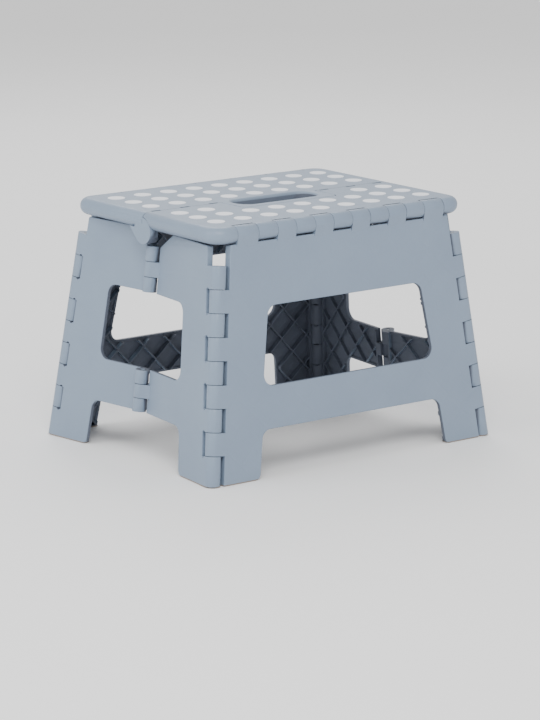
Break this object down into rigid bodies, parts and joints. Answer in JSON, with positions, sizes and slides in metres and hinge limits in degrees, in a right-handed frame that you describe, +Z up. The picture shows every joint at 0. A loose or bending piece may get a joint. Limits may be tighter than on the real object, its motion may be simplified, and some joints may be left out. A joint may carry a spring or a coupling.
{
  "type": "folding step stool",
  "caption": "Folding plastic step stool with splayed legs, ribbed inner faces, round grip dots and a hand hole in the middle of the top.",
  "frame": {"origin": "floor, under the middle of the top", "axes": "+X along the long side, +Y from the front leg panel to the back one, +Z up"},
  "size_m": [0.3208, 0.251, 0.2205],
  "materials": {
    "plastic": "satin",
    "dots": "matte",
    "steel": "satin",
    "rubber": "matte"
  },
  "bodies": {
    "top_back": {"top_half_back": "plastic", "grip_dots_back": "dots", "edge_pin_back": "steel", "centre_pin_left": "steel", "centre_pin_right": "steel"},
    "top_front": {"top_half_front": "plastic", "grip_dots_front": "dots", "edge_pin_front": "steel"},
    "leg_front": {"leg_panel_front": "plastic", "foot_pads_front": "rubber", "corner_pin_left_front": "steel", "corner_pin_right_front": "steel"},
    "leg_back": {"leg_panel_back": "plastic", "foot_pads_back": "rubber", "corner_pin_left_back": "steel", "corner_pin_right_back": "steel"},
    "end_left_front": {"end_panel_left_front": "plastic", "foot_pad_left_front": "rubber"},
    "end_left_back": {"end_panel_left_back": "plastic", "foot_pad_left_back": "rubber", "mid_pins_left_lower": "steel", "mid_pins_left_upper": "steel"},
    "end_right_front": {"end_panel_right_front": "plastic", "foot_pad_right_front": "rubber", "mid_pins_right_lower": "steel", "mid_pins_right_upper": "steel"},
    "end_right_back": {"end_panel_right_back": "plastic", "foot_pad_right_back": "rubber"}
  },
  "joints": [
    {"name": "centre_fold", "type": "hinge", "parent": "top_back", "child": "top_front", "pos_m": [0, 0, 0.198], "axis": [1, 0, 0], "range_deg": [0, 180]},
    {"name": "leg_front_hinge", "type": "hinge", "parent": "top_front", "child": "leg_front", "pos_m": [0, -0.0985, 0.2125], "axis": [1, 0, 0], "range_deg": [-84.65, 0]},
    {"name": "leg_back_hinge", "type": "hinge", "parent": "top_back", "child": "leg_back", "pos_m": [0, 0.0985, 0.2125], "axis": [1, 0, 0], "range_deg": [0, 84.65]},
    {"name": "corner_left_front", "type": "hinge", "parent": "leg_front", "child": "end_left_front", "pos_m": [-0.1534, -0.11854, 0], "axis": [0.1143, 0.1056, 0.9878], "range_deg": [-81.91, 0]},
    {"name": "corner_left_back", "type": "hinge", "parent": "leg_back", "child": "end_left_back", "pos_m": [-0.1534, 0.11854, 0], "axis": [0.1143, -0.1056, 0.9878], "range_deg": [0, 81.91]},
    {"name": "corner_right_front", "type": "hinge", "parent": "leg_front", "child": "end_right_front", "pos_m": [0.1534, -0.11854, 0], "axis": [-0.1143, 0.1056, 0.9878], "range_deg": [0, 81.91]},
    {"name": "corner_right_back", "type": "hinge", "parent": "leg_back", "child": "end_right_back", "pos_m": [0.1534, 0.11854, 0], "axis": [-0.1143, -0.1056, 0.9878], "range_deg": [-81.91, 0]}
  ],
  "couplings": [
    {"joint": "leg_front_hinge", "follows": "centre_fold", "ratio": -0.47029},
    {"joint": "leg_back_hinge", "follows": "centre_fold", "ratio": 0.47029},
    {"joint": "corner_left_front", "follows": "centre_fold", "ratio": -0.45508},
    {"joint": "corner_left_back", "follows": "centre_fold", "ratio": 0.45508},
    {"joint": "corner_right_front", "follows": "centre_fold", "ratio": 0.45508},
    {"joint": "corner_right_back", "follows": "centre_fold", "ratio": -0.45508}
  ]
}
